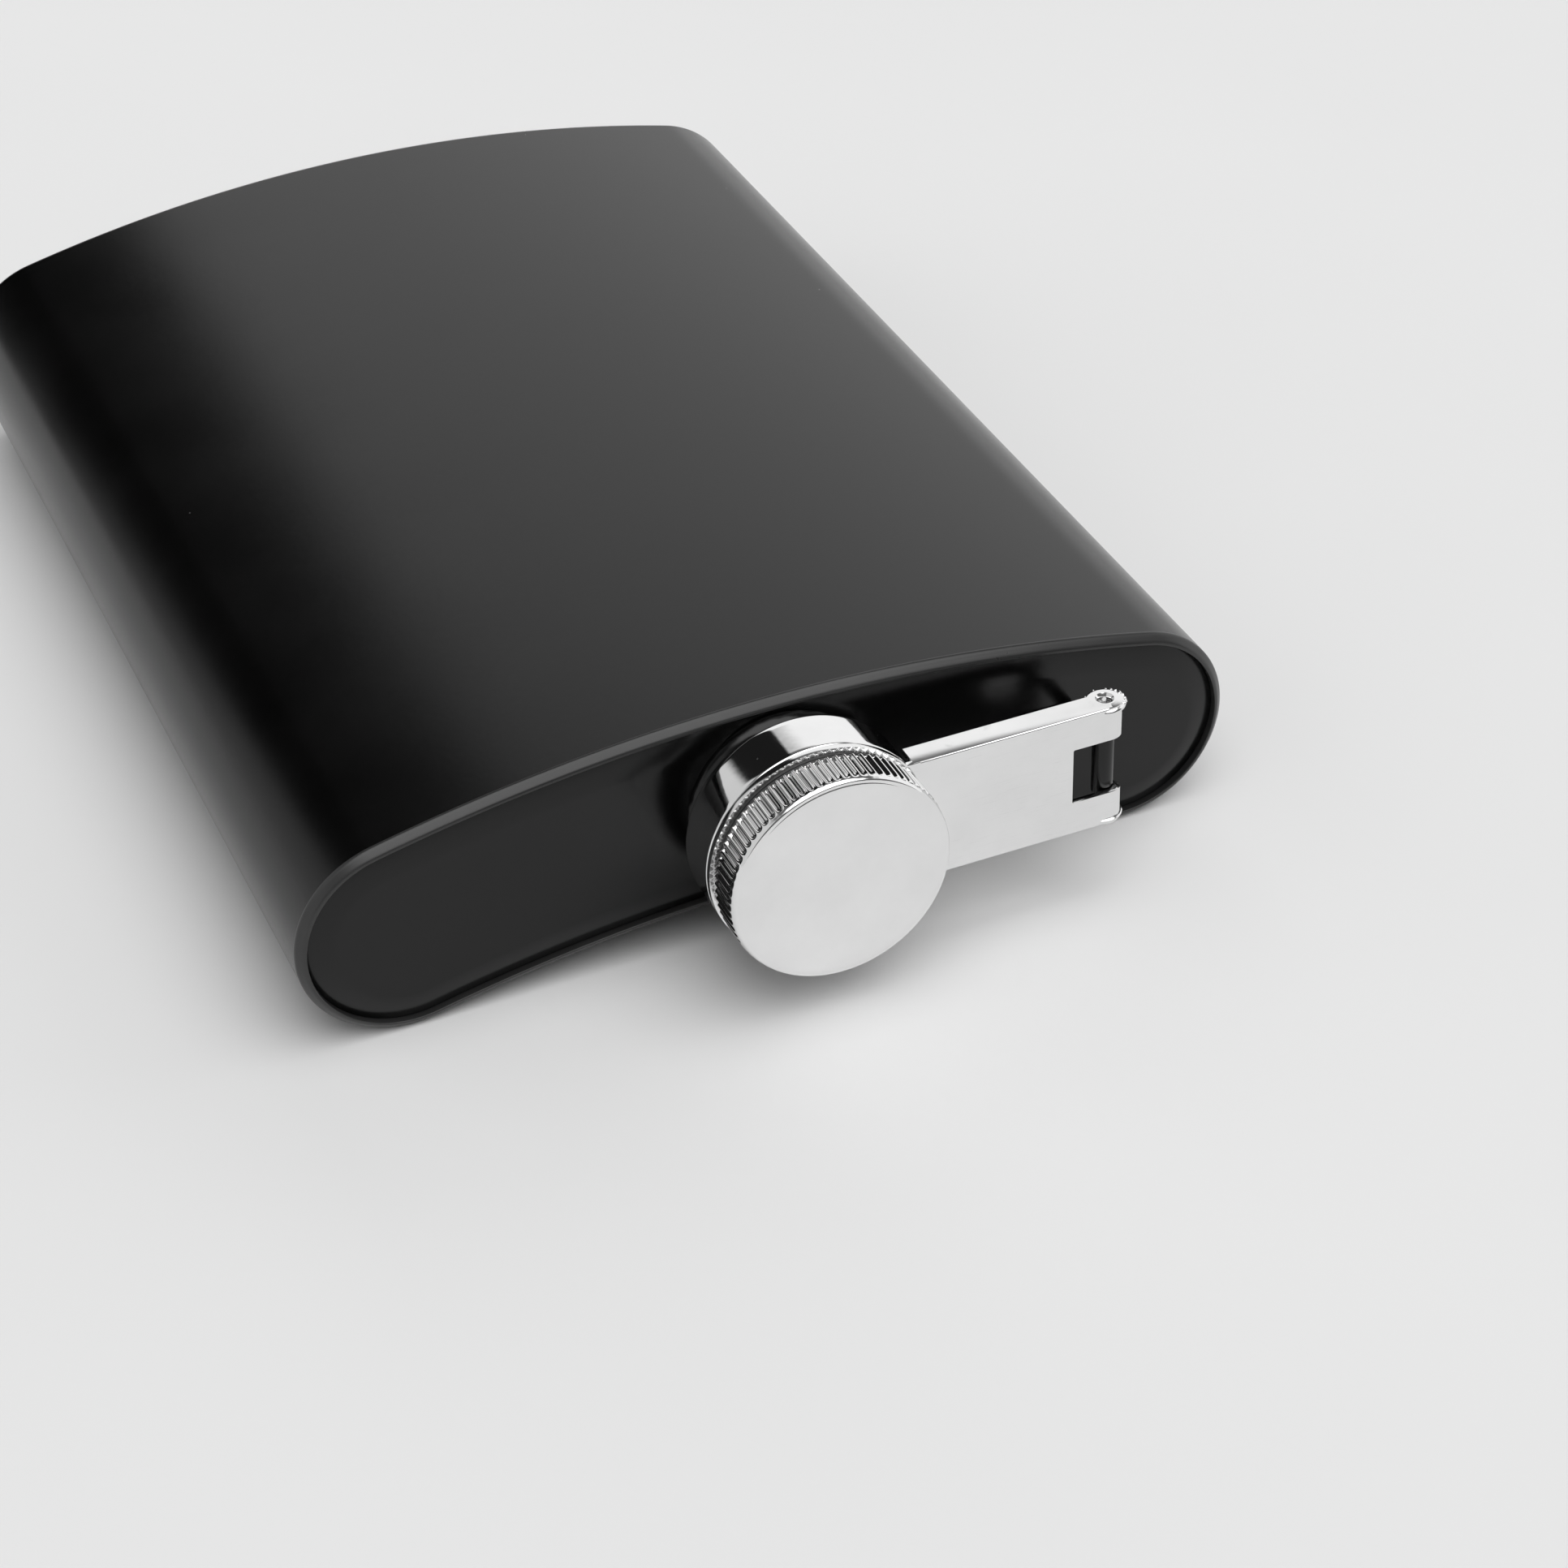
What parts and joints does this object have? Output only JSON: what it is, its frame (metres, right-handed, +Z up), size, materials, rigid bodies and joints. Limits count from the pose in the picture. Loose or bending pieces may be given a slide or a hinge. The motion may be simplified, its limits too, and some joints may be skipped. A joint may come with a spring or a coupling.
{
  "type": "hip flask",
  "caption": "Curved hip flask with a satin black body, a bright knurled screw cap and a folded arm that hinges the cap to the shoulder.",
  "frame": {"origin": "under the middle of the whole object, on the surface that the flask lies on, with the hollow back down", "axes": "+X across the width towards the hinge, +Y from the cap end to the base end, +Z up through the bowed front"},
  "size_m": [0.095, 0.138, 0.0259],
  "materials": {
    "black_paint": "satin black paint over stainless sheet",
    "steel": "bare stainless steel, machined",
    "chrome": "bright chrome plate",
    "weld_steel": "bare weld bead inside the body",
    "gasket": "pale sealing rubber",
    "washer": "dark grey friction washer"
  },
  "bodies": {
    "flask": {"body_shell": "black_paint", "side_seam_weld": "weld_steel", "top_plate": "black_paint", "top_rim_weld": "black_paint", "base_plate": "black_paint", "base_rim_weld": "black_paint", "neck_tube": "steel", "neck_weld": "black_paint", "hinge_bracket": "black_paint"},
    "arm": {"cap_arm": "chrome", "hinge_pin": "chrome"},
    "cap": {"cap_skirt": "chrome", "cap_gasket": "gasket", "cap_rivet": "steel", "cap_washer": "washer", "cap_head": "chrome"}
  },
  "joints": [
    {"name": "arm_swing", "type": "hinge", "parent": "flask", "child": "arm", "pos_m": [0.0299, -0.06195, 0.0149], "axis": [0, 0, 1], "range_deg": [0, 180]},
    {"name": "cap_spin", "type": "hinge", "parent": "arm", "child": "cap", "pos_m": [0, -0.0637, 0.0149], "axis": [0, -1, 0], "continuous": true}
  ]
}
